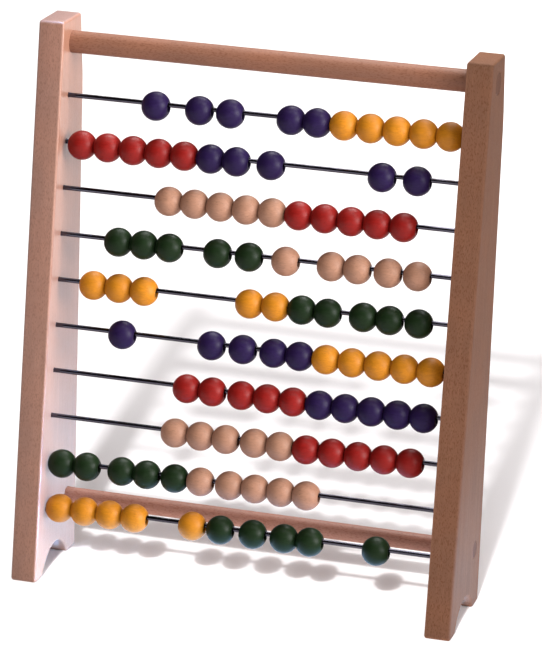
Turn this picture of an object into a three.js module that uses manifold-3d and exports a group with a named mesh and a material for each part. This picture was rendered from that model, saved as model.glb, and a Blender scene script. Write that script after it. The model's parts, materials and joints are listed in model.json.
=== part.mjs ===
// A wooden counting frame (abacus): two tapering side panels, a round top bar, a round
// lower rail at the back, ten steel rods and a hundred turned wooden beads.
// Units are millimetres. X runs along the rods, Y from front to back and Z upwards.
// The origin is on the table, at the middle of the frame's width and depth.

import * as THREE from 'three';
import { mergeVertices } from 'three/addons/utils/BufferGeometryUtils.js';
import Module from 'manifold-3d';

// ---------------------------------------------------------------- driving dimensions

const innerWidth = 276; // between the side panels
const panelThickness = 18;
const panelHeight = 387;
const panelDepth = 83; // at the table
const frontSetback = 41.4; // how far the front edge leans back over the whole height
const rearBendHeight = 341; // the rear edge is upright to here, then leans forward
const rearSetback = 6.2;
const edgeRounding = 1.6;

const frontFootLength = 15.5;
const rearFootLength = 16;
const archHeight = 16; // the round notch that leaves two feet on each panel

const rowCount = 10;
const beadsPerRow = 10;
const beadsPerColour = 5;
const rodDiameter = 3.2;
const rodInset = 16.8; // from the front edge, square to it
const lowestRodUpEdge = 52.9; // from the table, measured along the front edge
const rodPitch = 31.75; // measured along the front edge
const rodSocketDepth = 10;

const beadDiameter = 20;
const beadLength = 18.1;
const beadBoreDiameter = 7.2;

const topBarDiameter = 15.2;
const topBarCentre = { fromFront: 59.4, height: 370.4 };
const lowerRailDiameter = 12;
const lowerRailCentre = { fromFront: 64, height: 43.5 };

const contactGap = 0.3; // left between pieces that touch
const hangingGap = 0.4; // between the top of a rod and the bore of a bead that hangs on it
const beadSag = (beadBoreDiameter - rodDiameter) / 2 - hangingGap;

// facets round each kind of piece
const beadSides = 10;
const beadArcSteps = 4;
const rodSides = 12;
const barSides = 24;
const archSegments = 12;
const roundingSteps = 2;
const mergeDistance = 1e-4;

// The rows from the top. Beads are counted from the left. A bead that isn't named in
// gapBefore touches its left neighbour, or the left panel.
const rows = [
  { left: 'violet', right: 'yellow', gapBefore: { 1: 53, 2: 12.5, 3: 3.5, 4: 24 } },
  { left: 'red', right: 'violet', gapBefore: { 1: 2.5, 8: 6, 9: 58.5, 10: 6 } },
  { left: 'natural', right: 'red', gapBefore: { 1: 66 } },
  { left: 'green', right: 'natural', gapBefore: { 1: 32, 4: 16, 5: 4, 6: 7.5, 7: 13.5, 9: 3, 10: 2 } },
  { left: 'yellow', right: 'green', gapBefore: { 1: 16, 4: 56.5, 8: 6.5, 10: 2 } },
  { left: 'violet', right: 'yellow', gapBefore: { 1: 38.5, 2: 45.5, 3: 4, 4: 3.5 } },
  { left: 'red', right: 'violet', gapBefore: { 1: 86.5, 3: 2.5 } },
  { left: 'natural', right: 'red', gapBefore: { 1: 80, 4: 2 } },
  { left: 'green', right: 'natural', gapBefore: { 3: 7, 5: 2, 7: 2.5 } },
  { left: 'yellow', right: 'green', gapBefore: { 5: 23.5, 6: 2, 7: 5, 8: 4, 10: 28.5 } },
];

// ---------------------------------------------------------------- materials

const finishes = {
  beech: { color: 0xc9a188, roughness: 0.6, metalness: 0 },
  steel: { color: 0x6a6c72, roughness: 0.25, metalness: 1 },
  violet: { color: 0x3a2f78, roughness: 0.4, metalness: 0 },
  yellow: { color: 0xf0a01e, roughness: 0.4, metalness: 0 },
  red: { color: 0xcf2027, roughness: 0.4, metalness: 0 },
  green: { color: 0x1d5a35, roughness: 0.4, metalness: 0 },
  natural: { color: 0xe0b493, roughness: 0.45, metalness: 0 },
};

function namedMesh(name, geometry, finish) {
  const mesh = new THREE.Mesh(geometry, new THREE.MeshStandardMaterial(finishes[finish]));
  mesh.name = name;
  return mesh;
}

// ---------------------------------------------------------------- solids

const wasm = await Module();
wasm.setup();

function toSolid(geometry) {
  const bare = geometry.clone();
  bare.deleteAttribute('normal');
  bare.deleteAttribute('uv');
  const merged = mergeVertices(bare, mergeDistance);
  return new wasm.Manifold(
    new wasm.Mesh({
      numProp: 3,
      vertProperties: new Float32Array(merged.attributes.position.array),
      triVerts: new Uint32Array(merged.index.array),
    }),
  );
}

function toGeometry(solid) {
  const mesh = solid.getMesh();
  const geometry = new THREE.BufferGeometry();
  geometry.setAttribute('position', new THREE.BufferAttribute(mesh.vertProperties, 3));
  geometry.setIndex(new THREE.BufferAttribute(mesh.triVerts, 1));
  const faceted = geometry.toNonIndexed();
  faceted.computeVertexNormals();
  return faceted;
}

// A closed outline of [radius, distance] points, turned about the X axis.
function turnedAboutX(outline, sides) {
  const points = outline.map(([radius, distance]) => new THREE.Vector2(radius, distance));
  const geometry = new THREE.LatheGeometry(points, sides);
  geometry.rotateZ(-Math.PI / 2);
  return geometry;
}

function cylinderAlongX(radius, length, sides) {
  const geometry = new THREE.CylinderGeometry(radius, radius, length, sides);
  geometry.rotateZ(-Math.PI / 2);
  return geometry;
}

// ---------------------------------------------------------------- places

const frontLean = Math.atan2(frontSetback, panelHeight);
const frontY = -panelDepth / 2;
const panelMiddleX = (innerWidth + panelThickness) / 2;
const rodRadius = rodDiameter / 2;
const topBarPlace = [0, frontY + topBarCentre.fromFront, topBarCentre.height];
const lowerRailPlace = [0, frontY + lowerRailCentre.fromFront, lowerRailCentre.height];

// The rods are counted from the top, and their line runs beside the front edge.
function rodPlace(row) {
  const upEdge = lowestRodUpEdge + (rowCount - 1 - row) * rodPitch;
  const y = frontY + upEdge * Math.sin(frontLean) + rodInset * Math.cos(frontLean);
  const z = upEdge * Math.cos(frontLean) - rodInset * Math.sin(frontLean);
  return [0, y, z];
}

// ---------------------------------------------------------------- side panels

function panelOutline() {
  const rearY = frontY + panelDepth;
  const archStart = frontY + frontFootLength;
  const archEnd = rearY - rearFootLength;
  const halfChord = (archEnd - archStart) / 2;
  const archRadius = (halfChord ** 2 + archHeight ** 2) / (2 * archHeight);
  const archCentreHeight = archHeight - archRadius;
  const archHalfAngle = Math.asin(halfChord / archRadius);

  const shape = new THREE.Shape();
  shape.moveTo(frontY, 0);
  shape.lineTo(archStart, 0);
  shape.absarc(
    archStart + halfChord,
    archCentreHeight,
    archRadius,
    Math.PI / 2 + archHalfAngle,
    Math.PI / 2 - archHalfAngle,
    true,
  );
  shape.lineTo(rearY, 0);
  shape.lineTo(rearY, rearBendHeight);
  shape.lineTo(rearY - rearSetback, panelHeight);
  shape.lineTo(frontY + frontSetback, panelHeight);
  shape.closePath();
  return shape;
}

function panelBlank() {
  const geometry = new THREE.ExtrudeGeometry(panelOutline(), {
    depth: panelThickness - 2 * edgeRounding,
    curveSegments: archSegments,
    bevelThickness: edgeRounding,
    bevelSize: edgeRounding,
    bevelOffset: -edgeRounding,
    bevelSegments: roundingSteps,
  });
  geometry.translate(0, 0, edgeRounding - panelThickness / 2);
  const outlineToPanel = new THREE.Matrix4().makeBasis(
    new THREE.Vector3(0, 1, 0),
    new THREE.Vector3(0, 0, 1),
    new THREE.Vector3(1, 0, 0),
  );
  geometry.applyMatrix4(outlineToPanel);
  return geometry;
}

// side is -1 for the left panel and 1 for the right one.
function sidePanel(name, side) {
  let solid = toSolid(panelBlank());
  for (let row = 0; row < rowCount; row += 1) {
    const [, y, z] = rodPlace(row);
    const socket = cylinderAlongX(rodRadius + contactGap, 2 * rodSocketDepth, rodSides);
    socket.translate((-side * panelThickness) / 2, y, z);
    solid = solid.subtract(toSolid(socket));
  }
  const barHoles = [
    [topBarDiameter, topBarPlace],
    [lowerRailDiameter, lowerRailPlace],
  ];
  for (const [diameter, [, y, z]] of barHoles) {
    const hole = cylinderAlongX(diameter / 2 + contactGap, 2 * panelThickness, barSides);
    hole.translate(0, y, z);
    solid = solid.subtract(toSolid(hole));
  }
  const panel = namedMesh(name, toGeometry(solid), 'beech');
  panel.position.x = side * panelMiddleX;
  return panel;
}

// ---------------------------------------------------------------- bars and rods

// Both bars go right through the panels and end flush with their outer faces.
function crossBar(name, diameter, place) {
  const length = innerWidth + 2 * panelThickness;
  const bar = namedMesh(name, cylinderAlongX(diameter / 2, length, barSides), 'beech');
  bar.position.set(...place);
  return bar;
}

function rod(row) {
  const length = innerWidth + 2 * (rodSocketDepth - contactGap);
  const mesh = namedMesh(`rod_${row + 1}`, cylinderAlongX(rodRadius, length, rodSides), 'steel');
  mesh.position.set(...rodPlace(row));
  return mesh;
}

// ---------------------------------------------------------------- beads

// Beads of one colour that touch are one solid: balls with flat ends round one bore.
function beadRun(beadCount) {
  const radius = beadDiameter / 2;
  const boreRadius = beadBoreDiameter / 2;
  const runLength = beadCount * beadLength;
  const flatAngle = Math.acos(beadLength / 2 / radius);
  const outline = [[boreRadius, -runLength / 2]];
  for (let bead = 0; bead < beadCount; bead += 1) {
    const centre = (bead + 0.5) * beadLength - runLength / 2;
    const firstStep = bead === 0 ? 0 : 1;
    for (let step = firstStep; step <= beadArcSteps; step += 1) {
      const angle = flatAngle + (step / beadArcSteps) * (Math.PI - 2 * flatAngle);
      outline.push([radius * Math.sin(angle), centre - radius * Math.cos(angle)]);
    }
  }
  outline.push([boreRadius, runLength / 2]);
  outline.push([boreRadius, -runLength / 2]);
  return turnedAboutX(outline, beadSides);
}

function runName(row, firstBead, lastBead) {
  const start = `row_${row + 1}_bead`;
  return firstBead === lastBead ? `${start}_${firstBead}` : `${start}s_${firstBead}_to_${lastBead}`;
}

function rowOfBeads(row) {
  const { left, right, gapBefore } = rows[row];
  const [, rodY, rodZ] = rodPlace(row);
  const group = new THREE.Group();
  group.position.set(0, rodY, rodZ - beadSag);
  let x = -innerWidth / 2;
  let firstBead = 1;
  for (let bead = 1; bead <= beadsPerRow; bead += 1) {
    const next = bead + 1;
    const runEnds = next in gapBefore || bead === beadsPerColour || bead === beadsPerRow;
    if (runEnds) {
      const beadCount = bead - firstBead + 1;
      const colour = bead <= beadsPerColour ? left : right;
      x += gapBefore[firstBead] ?? contactGap;
      const run = namedMesh(runName(row, firstBead, bead), beadRun(beadCount), colour);
      run.position.x = x + (beadCount * beadLength) / 2;
      group.add(run);
      x += beadCount * beadLength;
      firstBead = next;
    }
  }
  return group;
}

// ---------------------------------------------------------------- the whole frame

const abacus = new THREE.Group();
abacus.add(sidePanel('left_side_panel', -1));
abacus.add(sidePanel('right_side_panel', 1));
abacus.add(crossBar('top_bar', topBarDiameter, topBarPlace));
abacus.add(crossBar('lower_rail', lowerRailDiameter, lowerRailPlace));
for (let row = 0; row < rowCount; row += 1) {
  abacus.add(rod(row));
  abacus.add(rowOfBeads(row));
}

export default abacus;
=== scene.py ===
"""The looks of a wooden counting frame: beech panels and bars, steel rods, turned beads.

Everything is in metres in the CAD frame: X along the rods, Y to the back, Z up.
"""

import json
import math
import random

import bmesh
import bpy
from mathutils import Matrix, Quaternion, Vector


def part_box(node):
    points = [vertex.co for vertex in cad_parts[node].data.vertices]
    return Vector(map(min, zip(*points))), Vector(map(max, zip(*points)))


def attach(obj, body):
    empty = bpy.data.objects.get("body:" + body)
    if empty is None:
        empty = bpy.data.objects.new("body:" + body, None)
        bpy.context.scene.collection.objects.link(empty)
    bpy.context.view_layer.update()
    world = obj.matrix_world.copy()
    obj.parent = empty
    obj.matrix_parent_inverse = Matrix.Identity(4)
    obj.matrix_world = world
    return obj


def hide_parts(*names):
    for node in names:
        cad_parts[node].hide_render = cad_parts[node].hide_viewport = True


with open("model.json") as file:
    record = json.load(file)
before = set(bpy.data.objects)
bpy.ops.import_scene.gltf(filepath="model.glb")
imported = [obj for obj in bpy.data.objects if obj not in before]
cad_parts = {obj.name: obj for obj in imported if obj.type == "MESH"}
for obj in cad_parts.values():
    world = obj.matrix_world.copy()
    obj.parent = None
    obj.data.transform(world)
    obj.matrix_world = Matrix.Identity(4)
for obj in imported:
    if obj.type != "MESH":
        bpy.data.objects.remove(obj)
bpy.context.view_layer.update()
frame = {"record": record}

MM = 0.001

# the axes that wood grain can run along
ACROSS = 0
UP = 2

# ---------------------------------------------------------------- driving sizes

# side panels
EDGE_ROUNDING = 1.7 * MM
EDGE_STEPS = 5
FLAT_RIM = 0.3 * MM
CORNER_RADIUS = 2.4 * MM
CORNER_STEPS = 6
ARCH_STEPS = 28
REAR_BEND_RADIUS = 120 * MM
REAR_BEND_STEPS = 8
FRONT_FOOT_LENGTH = 15.5 * MM
REAR_FOOT_LENGTH = 16 * MM
ARCH_HEIGHT = 16 * MM
FRONT_SETBACK = 41.4 * MM
REAR_SETBACK = 6.2 * MM
REAR_BEND_HEIGHT = 341 * MM
ROD_HOLE_GAP = 0.3 * MM
BAR_HOLE_GAP = 0.06 * MM
SOCKET_DEPTH = 10 * MM
HOLE_SIDES = 40
# how far in from a panel's long edges the painted edge highlight is full, and where it fades out
FULL_SHEEN_REACH = 0.3 * MM
FAINT_SHEEN_REACH = 2 * MM

# bars and rods
ROW_COUNT = 10
BAR_END_LENGTH = 12 * MM
BAR_END_EASE = 0.5 * MM
BAR_STATIONS = 24
BAR_SIDES = 64
ROD_END_EASE = 0.25 * MM
ROD_STATIONS = 12
ROD_SIDES = 32

# beads
BEAD_BORE_RADIUS = 3.3 * MM
BEAD_LIP_RADIUS = 0.45 * MM
BEAD_END_GAP = 0.02 * MM
BEAD_SIDES = 48
BEAD_ARC_STEPS = 30
BEAD_LIP_STEPS = 4
BEAD_SIZE_SPREAD = 0.012
DARKEST_BEAD_TONE = 0.45

SEED = 7

# ---------------------------------------------------------------- colours, as linear light

LEFT_BEECH = (0.27, 0.125, 0.079)
RIGHT_BEECH = (0.31, 0.147, 0.088)
BAR_BEECH = (0.24, 0.108, 0.068)
# painted light: the rail is the same beech as the bar, painted lighter for the light off the floor
# that it catches below the beads
RAIL_BEECH_PAINTED_LIGHTER = (0.40, 0.19, 0.14)

BEAD_VIOLET = (0.016, 0.007, 0.043)
BEAD_YELLOW = (0.49, 0.174, 0.007)
BEAD_RED = (0.215, 0.007, 0.005)
BEAD_GREEN = (0.0075, 0.0178, 0.0052)
BEAD_NATURAL = (0.34, 0.168, 0.105)

STEEL_DARK = (0.05, 0.046, 0.06)
STEEL_LIGHT = (0.10, 0.095, 0.12)
STEEL_STAIN = (0.03, 0.026, 0.028)

WARM_FILL = (1.0, 0.87, 0.85)
COOL_BOUNCE = (0.22, 0.52, 1.0)

# ---------------------------------------------------------------- node helpers


class Graph:
    """A material's node tree with short ways to add nodes."""

    def __init__(self, name):
        self.material = bpy.data.materials.new(name)
        self.material.use_nodes = True
        self.tree = self.material.node_tree
        self.shader = self.tree.nodes["Principled BSDF"]

    def add(self, kind, settings=None, **inputs):
        node = self.tree.nodes.new(kind)
        for key, value in (settings or {}).items():
            setattr(node, key, value)
        for key, value in inputs.items():
            self.plug(node.inputs[key.replace("_", " ")], value)
        return node

    def plug(self, socket, value):
        """Links another node's output to the socket, or sets the socket to a number."""
        if isinstance(value, bpy.types.NodeSocket):
            self.tree.links.new(value, socket)
        else:
            socket.default_value = value

    def math(self, operation, first, second=0.0):
        node = self.add("ShaderNodeMath", {"operation": operation})
        self.plug(node.inputs[0], first)
        self.plug(node.inputs[1], second)
        return node.outputs[0]

    def ease(self, value, low, high, to_low=0.0, to_high=1.0):
        """Takes low to to_low and high to to_high, with a soft start and end between them."""
        node = self.add("ShaderNodeMapRange", {"interpolation_type": "SMOOTHSTEP"})
        for socket, number in zip(node.inputs, (value, low, high, to_low, to_high)):
            self.plug(socket, number)
        return node.outputs[0]

    def stretched(self, scale, offset=(0, 0, 0)):
        """Object coordinates scaled along each axis, moved on by the piece's own grain offset."""
        where = self.add("ShaderNodeTexCoord").outputs["Object"]
        own = self.add("ShaderNodeAttribute", {"attribute_name": "grain_offset"})
        moved = self.add("ShaderNodeVectorMath", {"operation": "ADD"})
        self.plug(moved.inputs[0], where)
        self.plug(moved.inputs[1], own.outputs["Vector"])
        mapping = self.add("ShaderNodeMapping", Vector=moved.outputs[0])
        mapping.inputs["Location"].default_value = offset
        mapping.inputs["Scale"].default_value = scale
        return mapping.outputs[0]

    def noise(self, vector, scale, detail=3.0, roughness=0.5, distortion=0.0):
        node = self.add(
            "ShaderNodeTexNoise",
            Vector=vector,
            Scale=scale,
            Detail=detail,
            Roughness=roughness,
            Distortion=distortion,
        )
        return node.outputs["Fac"]

    def mix(self, factor, first, second):
        node = self.add("ShaderNodeMix", {"data_type": "RGBA"})
        self.plug(node.inputs["Factor"], factor)
        self.plug(node.inputs["A"], colour4(first))
        self.plug(node.inputs["B"], colour4(second))
        return node.outputs["Result"]

    def bump(self, height, strength, distance):
        """Distance is how far, in metres, a height of 1 stands out."""
        node = self.add("ShaderNodeBump", Height=height, Strength=strength, Distance=distance)
        self.plug(self.shader.inputs["Normal"], node.outputs["Normal"])

    def finish(self, colour, roughness, specular=0.5):
        self.plug(self.shader.inputs["Base Color"], colour)
        self.plug(self.shader.inputs["Roughness"], roughness)
        self.shader.inputs["Specular IOR Level"].default_value = specular
        return self.material


def colour4(value):
    """A colour given as three numbers gets an alpha of 1. A socket passes through."""
    if isinstance(value, bpy.types.NodeSocket):
        return value
    return (*value, 1.0)


def shade(colour, factor):
    return tuple(channel * factor for channel in colour)


# ---------------------------------------------------------------- materials


def stretch_along(axis, share):
    """A scale that draws a pattern out along one axis."""
    scale = [1.0, 1.0, 1.0]
    scale[axis] = share
    return tuple(scale)


def beech(name, colour, grain_axis, gloss, roughness_range, edge_sheen=None):
    """Sanded beech with its grain along grain_axis.

    The boards' broad faces, which look along X, are striped. The other faces have short flecks.
    """
    g = Graph(name)
    normal = g.add("ShaderNodeNewGeometry").outputs["Normal"]
    facing = g.add("ShaderNodeSeparateXYZ", Vector=normal)
    broad = g.ease(g.math("ABSOLUTE", facing.outputs["X"]), 0.5, 0.9)
    grain = g.stretched(stretch_along(grain_axis, 0.05))
    bands = g.ease(g.noise(grain, 110, 2, 0.5, 0.8), 0.3, 0.7)
    streaks = g.noise(g.stretched(stretch_along(grain_axis, 0.02), (1, 5, 3)), 480, 2, 0.5)
    fibres = g.noise(grain, 1500, 4, 0.65)
    mottling = g.noise(g.stretched((1, 1, 1), (3, 1, 2)), 22, 3, 0.55)
    fleck_grain = g.stretched(stretch_along(grain_axis, 0.3), (5, 2, 7))
    flecks = g.ease(g.noise(fleck_grain, 1650, 1.5, 0.45), 0.52, 0.63)

    tone = g.mix(bands, shade(colour, 0.88), shade(colour, 1.1))
    streak_share = g.math("MULTIPLY", g.ease(streaks, 0.4, 0.62), g.ease(broad, 0, 1, 0.6, 0.9))
    tone = g.mix(streak_share, tone, shade(colour, 0.78))
    tone = g.mix(g.ease(fibres, 0.25, 0.75), shade(colour, 0.86), tone)
    warm = (colour[0] * 1.06, colour[1] * 0.95, colour[2] * 0.86)
    tone = g.mix(g.ease(mottling, 0.35, 0.7, 0.0, 0.55), tone, warm)
    fleck_colour = (colour[0] * 0.62, colour[1] * 0.5, colour[2] * 0.42)
    fleck_share = g.math("MULTIPLY", flecks, g.ease(broad, 0, 1, 0.6, 0.3))
    tone = g.mix(fleck_share, tone, fleck_colour)
    roughness = g.ease(fibres, 0.2, 0.8, *roughness_range)
    # painted highlight: the panels' rounded edges are painted lighter, as where they catch the light
    if edge_sheen is not None:
        painted_sheen = (min(colour[0] * 1.3, 0.9), colour[1] * 1.34, colour[2] * 1.36)
        tone = g.mix(g.math("MULTIPLY", edge_sheen(g), 0.5), tone, painted_sheen)
    height = g.math("SUBTRACT", fibres, g.math("MULTIPLY", flecks, 0.6))
    g.bump(height, 0.35, 0.12 * MM)
    return g.finish(tone, roughness, specular=gloss)


def beech_end(name, colour):
    """The cut end of a bar, with faint rings and open pores."""
    g = Graph(name)
    rings = g.noise(g.stretched((0.02, 1, 0.35)), 420, 3, 0.6, 0.4)
    pores = g.ease(g.noise(g.stretched((0.2, 1, 1)), 2600, 1, 0.4), 0.62, 0.72)
    tone = g.mix(g.ease(rings, 0.3, 0.7), shade(colour, 0.8), shade(colour, 1.05))
    tone = g.mix(pores, tone, shade(colour, 0.5))
    g.bump(rings, 0.3, 0.1 * MM)
    return g.finish(tone, g.ease(rings, 0.3, 0.7, 0.7, 0.85), specular=0.1)


def stained_bead(name, colour, fleck_share, roughness_range, gloss):
    """Turned wood under a coloured lacquer.

    The fibres show faintly and each bead has its own depth of colour. Painted shade darkens the
    flat ends towards the bore, where a bead meets its neighbours and the rod.
    """
    g = Graph(name)
    grain = g.stretched((0.22, 1, 1))
    fibres = g.noise(grain, 900, 4, 0.6, 0.3)
    clouds = g.noise(g.stretched((1, 1, 1), (2, 4, 1)), 120, 2, 0.5)
    pores = g.ease(g.noise(g.stretched((0.3, 1, 1), (6, 1, 3)), 1500, 1, 0.4), 0.64, 0.74)
    own_tone = g.add("ShaderNodeAttribute", {"attribute_name": "tone"}).outputs["Fac"]

    tone = g.mix(g.ease(fibres, 0.3, 0.7), shade(colour, 0.84), shade(colour, 1.1))
    tone = g.mix(g.ease(clouds, 0.35, 0.7, 0.0, 0.5), tone, shade(colour, 0.82))
    tone = g.mix(g.math("MULTIPLY", pores, fleck_share), tone, shade(colour, 0.45))
    tone = g.mix(own_tone, tone, shade(colour, 0.72))

    where = g.add("ShaderNodeTexCoord").outputs["Object"]
    parts = g.add("ShaderNodeSeparateXYZ", Vector=where)
    square_y = g.math("MULTIPLY", parts.outputs["Y"], parts.outputs["Y"])
    square_z = g.math("MULTIPLY", parts.outputs["Z"], parts.outputs["Z"])
    radius = g.math("SQRT", g.math("ADD", square_y, square_z))
    # painted shade on the flat ends, darkest at the bore, where the beads touch
    bore_shade = g.ease(radius, BEAD_BORE_RADIUS + 0.1 * MM, BEAD_BORE_RADIUS + 2.3 * MM, 0.55, 0.0)
    tone = g.mix(bore_shade, tone, shade(colour, 0.5))

    g.bump(g.math("SUBTRACT", fibres, g.math("MULTIPLY", pores, 0.5)), 0.22, 0.1 * MM)
    roughness = g.ease(fibres, 0.2, 0.8, *roughness_range)
    return g.finish(tone, roughness, specular=gloss)


def steel():
    """Drawn and polished wire with faint lengthwise scratches."""
    g = Graph("rod_steel")
    scratches = g.noise(g.stretched((0.004, 1, 1)), 1800, 2, 0.5)
    stains = g.noise(g.stretched((1, 1, 1)), 60, 3, 0.6)
    tone = g.mix(g.ease(scratches, 0.3, 0.7), STEEL_DARK, STEEL_LIGHT)
    tone = g.mix(g.ease(stains, 0.5, 0.75, 0.0, 0.5), tone, STEEL_STAIN)
    g.bump(scratches, 0.05, 0.02 * MM)
    g.shader.inputs["Metallic"].default_value = 1.0
    return g.finish(tone, g.ease(stains, 0.3, 0.8, 0.10, 0.22))


def floor_paper():
    """Plain pale paper with a very faint fleck."""
    g = Graph("pale_floor")
    specks = g.noise(g.stretched((1, 1, 1)), 900, 2, 0.5)
    tone = g.mix(specks, (0.89, 0.88, 0.89), (0.92, 0.91, 0.92))
    return g.finish(tone, 0.9, specular=0.1)


# ---------------------------------------------------------------- mesh helpers


def new_piece(name, mesh, material_list):
    piece = bpy.data.objects.new(name, mesh)
    bpy.context.scene.collection.objects.link(piece)
    for material in material_list:
        mesh.materials.append(material)
    return piece


def set_attributes(mesh, grain_offset, tone=0.0):
    """Every piece carries its own place in the wood and its own depth of colour."""
    count = len(mesh.vertices)
    offsets = mesh.attributes.new("grain_offset", "FLOAT_VECTOR", "POINT")
    offsets.data.foreach_set("vector", list(grain_offset) * count)
    tones = mesh.attributes.new("tone", "FLOAT", "POINT")
    tones.data.foreach_set("value", [tone] * count)


def smooth_with_sharp_edges(mesh, angle=math.radians(32)):
    for polygon in mesh.polygons:
        polygon.use_smooth = True
    mesh.set_sharp_from_angle(angle=angle)


def made_mesh(name, maker):
    mesh = bpy.data.meshes.new(name)
    maker.to_mesh(mesh)
    maker.free()
    return mesh


def turned_mesh(name, outline, sides, closed):
    """Turns [distance, radius] points about X. An open outline starts and ends on the axis."""
    maker = bmesh.new()
    rings = []
    for distance, radius in outline:
        if radius == 0:
            rings.append([maker.verts.new((distance, 0, 0))])
            continue
        ring = []
        for side in range(sides):
            angle = 2 * math.pi * side / sides
            place = (distance, radius * math.cos(angle), radius * math.sin(angle))
            ring.append(maker.verts.new(place))
        rings.append(ring)
    pairs = list(zip(rings, rings[1:]))
    if closed:
        pairs.append((rings[-1], rings[0]))
    for first, second in pairs:
        for side in range(sides):
            after = (side + 1) % sides
            corners = [first[side % len(first)], first[after % len(first)]]
            corners += [second[after % len(second)], second[side % len(second)]]
            maker.faces.new(list(dict.fromkeys(corners)))
    bmesh.ops.recalc_face_normals(maker, faces=maker.faces)
    return made_mesh(name, maker)


def arc_points(centre, radius, start, end, steps):
    """Points on an arc, from start to end in radians, both included."""
    points = []
    for step in range(steps + 1):
        angle = start + (end - start) * step / steps
        points.append((centre[0] + radius * math.cos(angle), centre[1] + radius * math.sin(angle)))
    return points


def rounded_corner(before, corner, after, radius, steps):
    """The points that round one corner of an outline."""
    here = Vector(corner)
    back = (Vector(before) - here).normalized()
    ahead = (Vector(after) - here).normalized()
    half_angle = back.angle(ahead) / 2
    reach = radius / math.tan(half_angle)
    centre = here + (back + ahead).normalized() * (radius / math.sin(half_angle))
    start = here + back * reach - centre
    end = here + ahead * reach - centre
    sweep = start.angle_signed(end)
    points = []
    for step in range(steps + 1):
        turned = start.copy()
        turned.rotate(Matrix.Rotation(-sweep * step / steps, 2))
        points.append(tuple(centre + turned))
    return points


# ---------------------------------------------------------------- side panels


def panel_outline(front, rear, height):
    """The panel's side view as (y, z) points, anticlockwise from the front foot."""
    arch_start = front + FRONT_FOOT_LENGTH
    arch_end = rear - REAR_FOOT_LENGTH
    half_chord = (arch_end - arch_start) / 2
    radius = (half_chord**2 + ARCH_HEIGHT**2) / (2 * ARCH_HEIGHT)
    half_angle = math.asin(half_chord / radius)
    centre = (arch_start + half_chord, ARCH_HEIGHT - radius)
    up = math.pi / 2
    arch = arc_points(centre, radius, up + half_angle, up - half_angle, ARCH_STEPS)
    # the points next to the arch's two ends are left out, to make room for the rounded corners
    arch = [arch[0], *arch[2:-2], arch[-1]]
    corners = [(front, 0), *arch, (rear, 0), (rear, REAR_BEND_HEIGHT)]
    corners += [(rear - REAR_SETBACK, height), (front + FRONT_SETBACK, height)]
    inside_arch = range(2, len(arch))
    outline = []
    for index, corner in enumerate(corners):
        before = corners[index - 1]
        after = corners[(index + 1) % len(corners)]
        if index in inside_arch:
            outline.append(corner)
        elif corner[1] == REAR_BEND_HEIGHT:
            outline += rounded_corner(before, corner, after, REAR_BEND_RADIUS, REAR_BEND_STEPS)
        else:
            outline += rounded_corner(before, corner, after, CORNER_RADIUS, CORNER_STEPS)
    return outline


def inset_outline(outline, distance):
    """Moves each point inwards, square to the outline."""
    moved = []
    for index, point in enumerate(outline):
        before = Vector(outline[index - 1])
        after = Vector(outline[(index + 1) % len(outline)])
        along = (after - before).normalized()
        inward = Vector((-along.y, along.x))
        moved.append(tuple(Vector(point) + inward * distance))
    return moved


def panel_mesh(name, outline, thickness):
    """The outline with rounded edges on both faces, before its holes are cut."""
    layers = []
    for step in range(EDGE_STEPS + 1):
        angle = math.pi / 2 * step / EDGE_STEPS
        inset = EDGE_ROUNDING * (1 - math.sin(angle))
        x = thickness / 2 - EDGE_ROUNDING * (1 - math.cos(angle))
        layers.append((x, inset))
    layers.insert(0, (thickness / 2, EDGE_ROUNDING + FLAT_RIM))
    layers += [(-x, inset) for x, inset in reversed(layers)]
    maker = bmesh.new()
    rings = []
    for x, inset in layers:
        points = inset_outline(outline, inset)
        rings.append([maker.verts.new((x, y, z)) for y, z in points])
    for first, second in zip(rings, rings[1:]):
        for index in range(len(first)):
            after = (index + 1) % len(first)
            maker.faces.new((first[index], first[after], second[after], second[index]))
    maker.faces.new(rings[0])
    maker.faces.new(rings[-1])
    bmesh.ops.recalc_face_normals(maker, faces=maker.faces)
    return made_mesh(name, maker)


def cut(piece, cutters):
    """Cuts the cutters out of the piece and removes them."""
    for cutter in cutters:
        modifier = piece.modifiers.new("cut", "BOOLEAN")
        modifier.operation = "DIFFERENCE"
        modifier.solver = "EXACT"
        modifier.object = cutter
    bpy.context.view_layer.update()
    evaluated = piece.evaluated_get(bpy.context.evaluated_depsgraph_get())
    result = bpy.data.meshes.new_from_object(evaluated)
    piece.modifiers.clear()
    piece.data = result
    for cutter in cutters:
        bpy.data.objects.remove(cutter)


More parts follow.
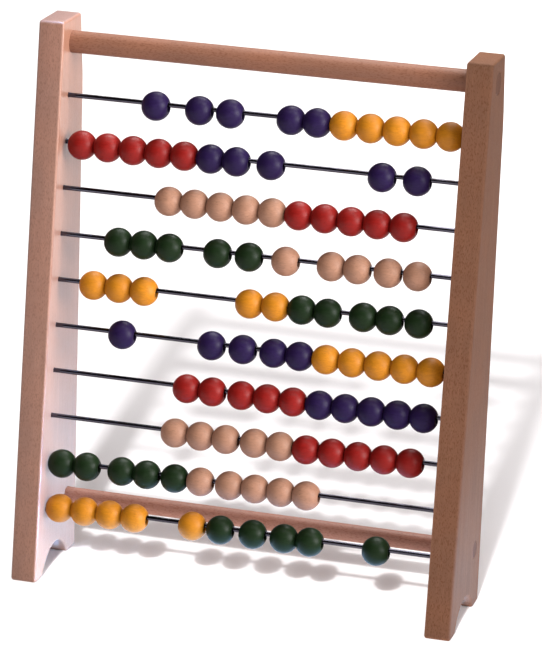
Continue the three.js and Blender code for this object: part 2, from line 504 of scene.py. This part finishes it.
def edge_sheen_share(middle_x, front, rear, height, thickness):
    """Makes a function that adds the nodes for the painted edge highlight, up to 1 on the long edges.
    """
    lean = math.atan2(FRONT_SETBACK, height)

    def near(g, distance):
        return g.ease(distance, FULL_SHEEN_REACH, FAINT_SHEEN_REACH, 1.0, 0.0)

    def edge_sheen(g):
        where = g.add("ShaderNodeTexCoord").outputs["Object"]
        parts = g.add("ShaderNodeSeparateXYZ", Vector=where)
        x, y, z = (parts.outputs[axis] for axis in "XYZ")
        from_middle = g.math("ABSOLUTE", g.math("SUBTRACT", x, middle_x))
        half = thickness / 2
        near_face = g.ease(from_middle, half - FAINT_SHEEN_REACH, half - FULL_SHEEN_REACH)
        up_lean = g.math("MULTIPLY", z, math.tan(lean))
        behind_front = g.math("SUBTRACT", g.math("SUBTRACT", y, front), up_lean)
        near_front = near(g, behind_front)
        near_rear = near(g, g.math("SUBTRACT", rear, y))
        near_top = near(g, g.math("SUBTRACT", height, z))
        near_outline = g.math("MAXIMUM", g.math("MAXIMUM", near_front, near_rear), near_top)
        # the painted edge highlight is patchy along the edges
        painted_sheen = g.noise(g.stretched((1, 1, 1), (9, 3, 4)), 90, 3, 0.6)
        uneven = g.ease(painted_sheen, 0.3, 0.65, 0.35, 1.0)
        return g.math("MULTIPLY", g.math("MULTIPLY", near_face, near_outline), uneven)

    return edge_sheen


def rod_places():
    """(y, z) of each rod's axis, from the top."""
    places = []
    for row in range(1, ROW_COUNT + 1):
        low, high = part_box(f"rod_{row}")
        centre = (low + high) / 2
        places.append((centre.y, centre.z))
    return places


def cylinder_cutter(x, y, z, radius, length):
    """A cylinder along X, centred on x, y, z."""
    half = length / 2
    outline = [(-half, 0), (-half, radius), (half, radius), (half, 0)]
    mesh = turned_mesh("cutter", outline, HOLE_SIDES, closed=False)
    cutter = new_piece("cutter", mesh, [])
    cutter.location = (x, y, z)
    return cutter


def hole_cutters(middle_x, inner_x, thickness):
    """Cutters for the rods' blind sockets and for the two bars, which go right through."""
    cutters = []
    rod_low, rod_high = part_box("rod_1")
    socket_radius = (rod_high.z - rod_low.z) / 2 + ROD_HOLE_GAP
    for y, z in rod_places():
        cutters.append(cylinder_cutter(inner_x, y, z, socket_radius, 2 * SOCKET_DEPTH))
    for bar in ("top_bar", "lower_rail"):
        low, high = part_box(bar)
        centre = (low + high) / 2
        radius = (high.z - low.z) / 2 + BAR_HOLE_GAP
        cutters.append(cylinder_cutter(middle_x, centre.y, centre.z, radius, 2 * thickness))
    return cutters


def side_panel(node, name, colour, gloss, roughness_range, side, grain_offset):
    """One side panel with its holes. side is -1 for the left one and 1 for the right one."""
    low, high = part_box(node)
    middle_x = (low.x + high.x) / 2
    thickness = high.x - low.x
    mesh = panel_mesh(name, panel_outline(low.y, high.y, high.z), thickness)
    mesh.transform(Matrix.Translation((middle_x, 0, 0)))
    edge_sheen = edge_sheen_share(middle_x, low.y, high.y, high.z, thickness)
    wood = beech(name + "_beech", colour, UP, gloss, roughness_range, edge_sheen)
    piece = new_piece(name, mesh, [wood])
    inner_x = middle_x - side * thickness / 2
    cut(piece, hole_cutters(middle_x, inner_x, thickness))
    smooth_with_sharp_edges(piece.data)
    set_attributes(piece.data, grain_offset)
    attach(piece, "frame")
    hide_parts(node)


# ---------------------------------------------------------------- bars and rods


def round_bar_mesh(name, start, end, axis_y, axis_z, radius, ease, stations, sides):
    """A round bar along X from start to end, with eased ends."""
    outline = [(start, 0), (start, radius - ease), (start + ease, radius)]
    for step in range(1, stations):
        outline.append((start + ease + (end - start - 2 * ease) * step / stations, radius))
    outline += [(end - ease, radius), (end, radius - ease), (end, 0)]
    mesh = turned_mesh(name, outline, sides, closed=False)
    smooth_with_sharp_edges(mesh)
    mesh.transform(Matrix.Translation((0, axis_y, axis_z)))
    return mesh


def cross_bar(node, name, side_material, end_material, grain_offset):
    """A round beech bar whose ends show end grain, flush with the panels' outer faces.

    The stretch inside the right panel is an object of its own, lit only by what lights that panel.
    """
    low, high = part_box(node)
    centre = (low + high) / 2
    radius = (high.z - low.z) / 2
    seam = high.x - BAR_END_LENGTH
    for part, start, end in ((name, low.x, seam), (name + "_right_end", seam, high.x)):
        shape = (radius, BAR_END_EASE, BAR_STATIONS, BAR_SIDES)
        mesh = round_bar_mesh(part, start, end, centre.y, centre.z, *shape)
        piece = new_piece(part, mesh, [side_material, end_material])
        for polygon in mesh.polygons:
            if abs(polygon.normal.x) > 0.9:
                polygon.material_index = 1
        set_attributes(mesh, grain_offset)
        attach(piece, "frame")
        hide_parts(node)


def steel_rod(node, name, material, grain_offset):
    """One steel rod, whose ends lie hidden in the panels' sockets."""
    low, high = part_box(node)
    centre = (low + high) / 2
    radius = (high.z - low.z) / 2
    shape = (radius, ROD_END_EASE, ROD_STATIONS, ROD_SIDES)
    mesh = round_bar_mesh(name, low.x, high.x, centre.y, centre.z, *shape)
    set_attributes(mesh, grain_offset)
    piece = new_piece(name, mesh, [material])
    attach(piece, "frame")
    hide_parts(node)


# ---------------------------------------------------------------- beads


def bead_outline(radius, half_length):
    """(distance, radius) points of a ball with flat ends and a rounded lip round its bore."""
    flat_radius = math.sqrt(radius**2 - half_length**2)
    lip = BEAD_LIP_RADIUS
    points = []
    lip_centre = (-half_length + lip, BEAD_BORE_RADIUS + lip)
    points += arc_points(lip_centre, lip, 1.5 * math.pi, math.pi, BEAD_LIP_STEPS)
    start = math.pi - math.asin(flat_radius / radius)
    points += arc_points((0, 0), radius, start, math.pi - start, BEAD_ARC_STEPS)
    lip_centre = (half_length - lip, BEAD_BORE_RADIUS + lip)
    points += arc_points(lip_centre, lip, 0, -0.5 * math.pi, BEAD_LIP_STEPS)
    return points


def bead(name, centre, radius, half_length, material, draw):
    """draw is the seeded source of this bead's own turn, size, tone and place in the wood."""
    size = 1 - draw.uniform(0, BEAD_SIZE_SPREAD)
    mesh = turned_mesh(name, bead_outline(radius * size, half_length), BEAD_SIDES, closed=True)
    smooth_with_sharp_edges(mesh, math.radians(50))
    offset = [draw.uniform(-1, 1) for _ in range(3)]
    set_attributes(mesh, offset, draw.uniform(0.0, DARKEST_BEAD_TONE))
    piece = new_piece(name, mesh, [material])
    piece.location = centre
    piece.rotation_euler = (draw.uniform(0, 2 * math.pi), 0, 0)
    return piece


def bead_numbers(node):
    """The row and the first and last bead that a CAD node of beads stands for."""
    words = node.split("_")
    numbers = [int(word) for word in words if word.isdigit()]
    return numbers[0], numbers[1], numbers[-1]


def all_beads(materials, draw):
    """Every bead as a piece of its own, on the body that carries its CAD node."""
    pieces = []
    slots = {entry["node"]: entry["material_slot"] for entry in frame["record"]["subparts"]}
    for body, nodes in frame["record"]["behaviour"]["bodies"].items():
        if body == "frame":
            continue
        for node in nodes:
            row, first, last = bead_numbers(node)
            low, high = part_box(node)
            count = last - first + 1
            length = (high.x - low.x) / count
            half_length = length / 2 - BEAD_END_GAP
            radius = (high.z - low.z) / 2
            centre = (low + high) / 2
            slot = slots[node]
            for index in range(count):
                place = (low.x + (index + 0.5) * length, centre.y, centre.z)
                name = f"bead_row{row}_{first + index}"
                piece = bead(name, place, radius, half_length, materials[slot], draw)
                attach(piece, body)
                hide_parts(node)
                pieces.append(piece)
    return pieces


# ---------------------------------------------------------------- the object

draw = random.Random(SEED)

side_panel(
    "left_side_panel",
    "panel_left",
    colour=LEFT_BEECH,
    gloss=0.5,
    roughness_range=(0.28, 0.4),
    side=-1,
    grain_offset=(0.3, 0.1, 0.2),
)
side_panel(
    "right_side_panel",
    "panel_right",
    colour=RIGHT_BEECH,
    gloss=0.05,
    roughness_range=(0.55, 0.7),
    side=1,
    grain_offset=(0.7, 0.5, 0.9),
)

bar_side = beech("bar_beech", BAR_BEECH, ACROSS, gloss=0.18, roughness_range=(0.44, 0.6))
# the rail's beech is painted lighter than the bar's, as painted light
rail_side = beech("rail_beech_painted_lighter", RAIL_BEECH_PAINTED_LIGHTER, ACROSS, gloss=0.3, roughness_range=(0.44, 0.6))
bar_end = beech_end("bar_end_grain", BAR_BEECH)
cross_bar("top_bar", "bar_top", bar_side, bar_end, (0.1, 0.4, 0.2))
cross_bar("lower_rail", "rail_lower", rail_side, bar_end, (0.9, 0.2, 0.6))

rod_material = steel()
for row in range(1, ROW_COUNT + 1):
    steel_rod(f"rod_{row}", f"steel_rod_{row}", rod_material, (draw.random(), row, 0))

bead_materials = {
    "violet_bead": stained_bead("violet_lacquer", BEAD_VIOLET, 0.5, (0.36, 0.48), 0.11),
    "yellow_bead": stained_bead("yellow_lacquer", BEAD_YELLOW, 0.45, (0.42, 0.54), 0.2),
    "red_bead": stained_bead("red_lacquer", BEAD_RED, 0.5, (0.38, 0.5), 0.16),
    "green_bead": stained_bead("green_lacquer", BEAD_GREEN, 0.5, (0.36, 0.48), 0.11),
    "natural_bead": stained_bead("natural_lacquer", BEAD_NATURAL, 0.5, (0.44, 0.56), 0.25),
}
beads = all_beads(bead_materials, draw)

# ---------------------------------------------------------------- stage, lights and camera

MIDDLE = (0, 0, 0.19)
FLOOR_REACH = 6.0


def floor():
    maker = bmesh.new()
    turns = ((-1, -1), (1, -1), (1, 1), (-1, 1))
    corners = [(x * FLOOR_REACH, y * FLOOR_REACH, 0) for x, y in turns]
    maker.faces.new([maker.verts.new(corner) for corner in corners])
    mesh = made_mesh("floor", maker)
    set_attributes(mesh, (0, 0, 0))
    piece = new_piece("floor", mesh, [floor_paper()])
    return piece


def area_light(name, place, target, size, power, colour=(1, 1, 1), height=None):
    """A soft light of that width. Its height is the same unless given."""
    data = bpy.data.lights.new(name, "AREA")
    data.shape = "ELLIPSE"
    data.size = size
    data.size_y = height or size
    data.energy = power
    data.color = colour
    light = bpy.data.objects.new(name, data)
    light.location = place
    aim = Vector(target) - Vector(place)
    light.rotation_euler = aim.to_track_quat("-Z", "Y").to_euler()
    light.visible_camera = False
    bpy.context.scene.collection.objects.link(light)
    return light


def way_to(azimuth, elevation):
    """The direction from the object to a viewer or light at those angles in degrees."""
    a, e = math.radians(azimuth), math.radians(elevation)
    return Vector((math.sin(a) * math.cos(e), -math.cos(a) * math.cos(e), math.sin(e)))


def spot(azimuth, elevation, distance):
    """A place at that distance from the middle. Azimuth turns from the front to the right."""
    return tuple(Vector(MIDDLE) + way_to(azimuth, elevation) * distance)


def linked_to(light, pieces, state):
    """Says which pieces the light reaches (INCLUDE) or leaves out (EXCLUDE)."""
    group = bpy.data.collections.new(light.name + "_" + state.lower())
    for piece in pieces:
        group.objects.link(piece)
    for entry in group.collection_objects:
        entry.light_linking.link_state = state
    light.light_linking.receiver_collection = group


def light_only(light, pieces):
    """The light reaches these pieces and nothing else."""
    linked_to(light, pieces, "INCLUDE")


def keep_off(light, pieces):
    """The light reaches everything but these pieces."""
    linked_to(light, pieces, "EXCLUDE")


def blocked_by(light, piece):
    """Only this piece throws a shadow in the light, as if the light came from all round."""
    blockers = bpy.data.collections.new(light.name + "_blockers")
    blockers.objects.link(piece)
    light.light_linking.blocker_collection = blockers


def world_light(colour, strength):
    world = bpy.data.worlds.new("studio")
    world.use_nodes = True
    background = world.node_tree.nodes["Background"]
    background.inputs["Color"].default_value = colour4(colour)
    background.inputs["Strength"].default_value = strength
    bpy.context.scene.world = world


def camera(target, distance, azimuth, elevation, roll, lens):
    """Angles in degrees, lens in millimetres. Roll turns the camera about its own view."""
    data = bpy.data.cameras.new("camera")
    data.lens = lens
    data.sensor_width = 36
    data.clip_end = 50
    eye = bpy.data.objects.new("camera", data)
    back = way_to(azimuth, elevation)
    turn = Quaternion((0, 0, 1), math.radians(roll))
    eye.location = Vector(target) + back * distance
    eye.rotation_mode = "QUATERNION"
    eye.rotation_quaternion = (-back).to_track_quat("-Z", "Y") @ turn
    bpy.context.scene.collection.objects.link(eye)
    bpy.context.scene.camera = eye


def floor_lights(ground):
    """The key light's long shadows, and what softens them. These lights reach only the floor."""
    key_place = spot(6.5, 34.0, 10.0)
    sharp_key = area_light("sharp_key_on_floor", key_place, MIDDLE, 0.45, 1000, height=0.32)
    soft_key = area_light("soft_key_on_floor", key_place, MIDDLE, 2.0, 640, height=1.3)
    fill = area_light("floor_fill", (0, 0.8, 3.2), (0, 0.4, 0), 3.0, 32, WARM_FILL)
    side = area_light("floor_side", spot(60, 25, 2.5), MIDDLE, 1.2, 30)
    far_floor = area_light("far_floor", (0.3, 2.2, 1.3), (0.3, 1.9, 0), 1.0, 24)
    for light in (sharp_key, soft_key, fill, side, far_floor):
        light_only(light, [ground])


def object_lights(ground, right_end):
    """The softboxes. Those at the right leave out the right panel, which stays in the shade."""
    side = area_light("side_softbox", spot(80, 15, 2.5), MIDDLE, 1.3, 91)
    front_side = area_light("front_side", spot(65, 25, 2.5), MIDDLE, 1.6, 44)
    high_side = area_light("high_side", spot(90, 60, 2.5), MIDDLE, 0.8, 38)
    for light in (side, front_side, high_side):
        keep_off(light, [*right_end, ground])
    back_top = area_light("back_top", spot(180, 60, 2.5), MIDDLE, 1.6, 76)
    top = area_light("top", spot(0, 85, 2.5), MIDDLE, 1.0, 17)
    spark = area_light("front_spark", (0.1, -0.9, 0.45), MIDDLE, 0.3, 0.8)
    for light in (back_top, top, spark):
        keep_off(light, [ground])


def arch_glow(panel, node, power):
    """Light off the table that the arch between a panel's feet catches from below."""
    low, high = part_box(node)
    x = (low.x + high.x) / 2
    light = area_light(
        node + "_arch_glow", (x, -0.0001, 0.001), (x, 0, 0.1), 0.016, power, COOL_BOUNCE, height=0.045
    )
    light_only(light, [panel])


def bounce_lights(ground, left_panel, right_panel, right_end, beads):
    """Cool light, as off a white table: low down on the panels and beads, and on the left panel."""
    low_left = area_light(
        "glow_left", (0.02, 0.0, 0.02), (-0.14, 0.0, 0.05), 0.08, 3.0, COOL_BOUNCE
    )
    light_only(low_left, [left_panel])
    blocked_by(low_left, ground)
    low_right = area_light(
        "glow_right", (0.25, 0.0, 0.015), (0.156, 0.025, 0.02), 0.1, 0.24, COOL_BOUNCE
    )
    light_only(low_right, right_end)
    blocked_by(low_right, ground)
    under_beads = area_light(
        "glow_under_beads", (0, -0.02, 0.01), (0, 0, 0.3), 0.26, 0.19, COOL_BOUNCE, height=0.12
    )
    light_only(under_beads, beads)
    arch_glow(left_panel, "left_side_panel", 0.016)
    arch_glow(right_panel, "right_side_panel", 0.014)
    above_left = area_light(
        "left_top_glow", (-0.147, 0.02, 2.5), (-0.147, 0.02, 0.387), 0.5, 165, COOL_BOUNCE
    )
    light_only(above_left, [left_panel])


ground = floor()
world_light((1.0, 0.97, 0.95), 0.03)
left_panel = bpy.data.objects["panel_left"]
right_panel = bpy.data.objects["panel_right"]
right_bar_ends = [bpy.data.objects[bar + "_right_end"] for bar in ("bar_top", "rail_lower")]
right_end = [right_panel, *right_bar_ends]
floor_lights(ground)
object_lights(ground, right_end)
bounce_lights(ground, left_panel, right_panel, right_end, beads)
bpy.context.scene.view_settings.view_transform = "Standard"
camera(
    target=(0.01189, 0.00284, 0.19203),
    distance=2.4228,
    azimuth=15.61,
    elevation=17.43,
    roll=2.05,
    lens=198.7,
)
